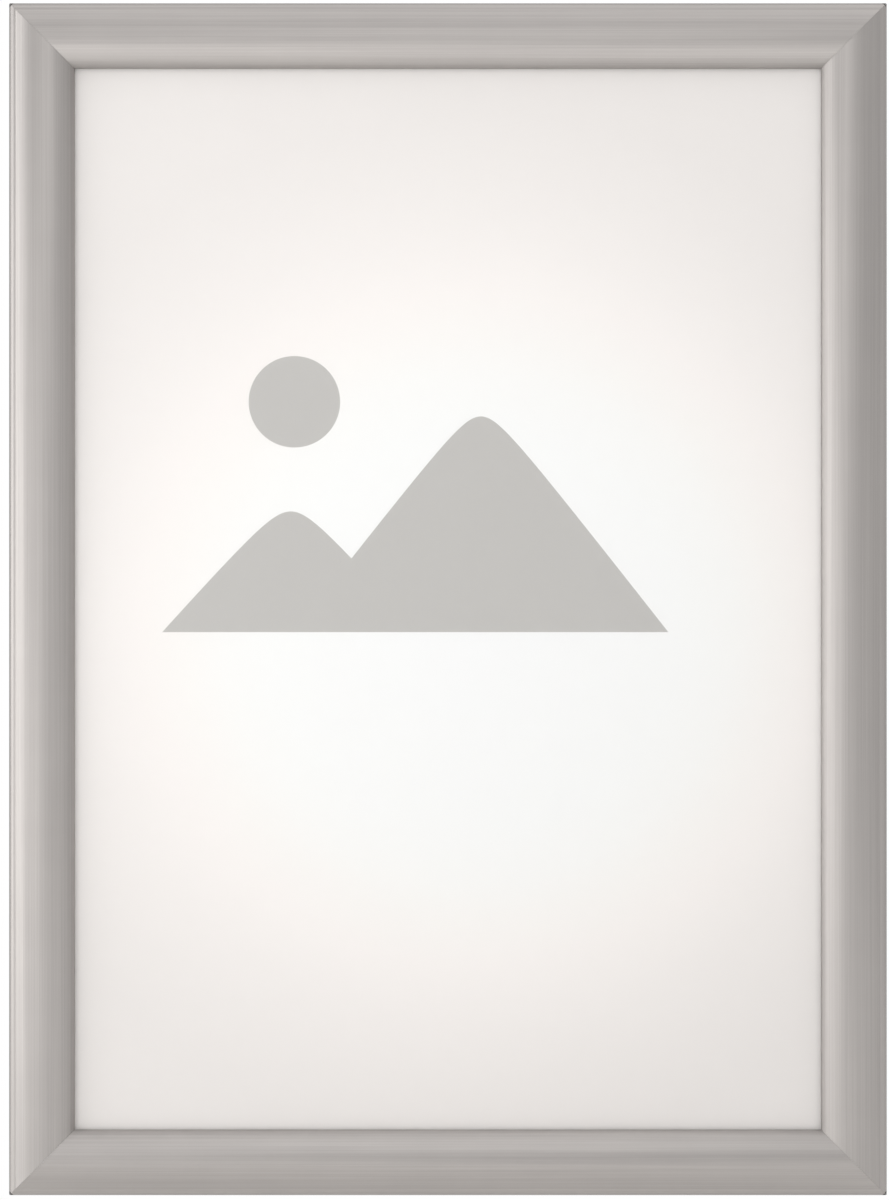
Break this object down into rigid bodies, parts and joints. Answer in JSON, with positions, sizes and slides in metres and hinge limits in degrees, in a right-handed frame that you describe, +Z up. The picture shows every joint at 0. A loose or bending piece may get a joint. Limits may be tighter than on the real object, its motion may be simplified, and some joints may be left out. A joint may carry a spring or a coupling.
{
  "type": "snap-open poster frame",
  "caption": "Wall poster frame of mitred aluminium rails, whose hinged covers snap open to change the sheet behind a clear plastic cover.",
  "frame": {"origin": "on the wall face of the top back rail, at the middle of its length and of its 15.4 mm width", "axes": "+Z up, +Y into the wall, the picture faces -Y, +X to the right as seen from the front"},
  "size_m": [0.24, 0.012, 0.326],
  "materials": {
    "anodised_aluminium_cover": "satin anodised, brushed along the length",
    "anodised_aluminium_rail": "satin anodised extrusion",
    "spring_steel": "bright",
    "zinc_plated_steel": "zinc plated, dull",
    "black_oxide_steel": "black oxide",
    "back_panel_plastic": "matt sheet",
    "printed_paper": "matt coated paper",
    "clear_plastic_sheet": "clear, low glare"
  },
  "bodies": {
    "frame": {"back_rail_top": "anodised_aluminium_rail", "back_rail_right": "anodised_aluminium_rail", "back_rail_bottom": "anodised_aluminium_rail", "back_rail_left": "anodised_aluminium_rail", "leaf_spring_top_1": "spring_steel", "leaf_spring_top_2": "spring_steel", "leaf_spring_right_1": "spring_steel", "leaf_spring_right_2": "spring_steel", "leaf_spring_bottom_1": "spring_steel", "leaf_spring_bottom_2": "spring_steel", "leaf_spring_left_1": "spring_steel", "leaf_spring_left_2": "spring_steel", "corner_key_top_right": "zinc_plated_steel", "corner_key_bottom_right": "zinc_plated_steel", "corner_key_bottom_left": "zinc_plated_steel", "corner_key_top_left": "zinc_plated_steel", "grub_screw_top_right_in_top_rail": "black_oxide_steel", "grub_screw_top_right_in_right_rail": "black_oxide_steel", "grub_screw_bottom_right_in_right_rail": "black_oxide_steel", "grub_screw_bottom_right_in_bottom_rail": "black_oxide_steel", "grub_screw_bottom_left_in_bottom_rail": "black_oxide_steel", "grub_screw_bottom_left_in_left_rail": "black_oxide_steel", "grub_screw_top_left_in_left_rail": "black_oxide_steel", "grub_screw_top_left_in_top_rail": "black_oxide_steel", "back_panel": "back_panel_plastic", "insert_sheet": "printed_paper", "clear_cover_sheet": "clear_plastic_sheet"},
    "top_cover": {"snap_cover_top": "anodised_aluminium_cover"},
    "right_cover": {"snap_cover_right": "anodised_aluminium_cover"},
    "bottom_cover": {"snap_cover_bottom": "anodised_aluminium_cover"},
    "left_cover": {"snap_cover_left": "anodised_aluminium_cover"}
  },
  "joints": [
    {"name": "top_cover_hinge", "type": "hinge", "parent": "frame", "child": "top_cover", "pos_m": [0, -0.007, 0.0054], "axis": [-1, 0, 0], "range_deg": [0, 90], "deforming": ["leaf_spring_top_1", "leaf_spring_top_2"]},
    {"name": "right_cover_hinge", "type": "hinge", "parent": "frame", "child": "right_cover", "pos_m": [0.1177, -0.007, -0.1553], "axis": [0, 0, 1], "range_deg": [0, 90], "deforming": ["leaf_spring_right_1", "leaf_spring_right_2"]},
    {"name": "bottom_cover_hinge", "type": "hinge", "parent": "frame", "child": "bottom_cover", "pos_m": [0, -0.007, -0.316], "axis": [1, 0, 0], "range_deg": [0, 90], "deforming": ["leaf_spring_bottom_1", "leaf_spring_bottom_2"]},
    {"name": "left_cover_hinge", "type": "hinge", "parent": "frame", "child": "left_cover", "pos_m": [-0.1177, -0.007, -0.1553], "axis": [0, 0, -1], "range_deg": [0, 90], "deforming": ["leaf_spring_left_1", "leaf_spring_left_2"]}
  ]
}
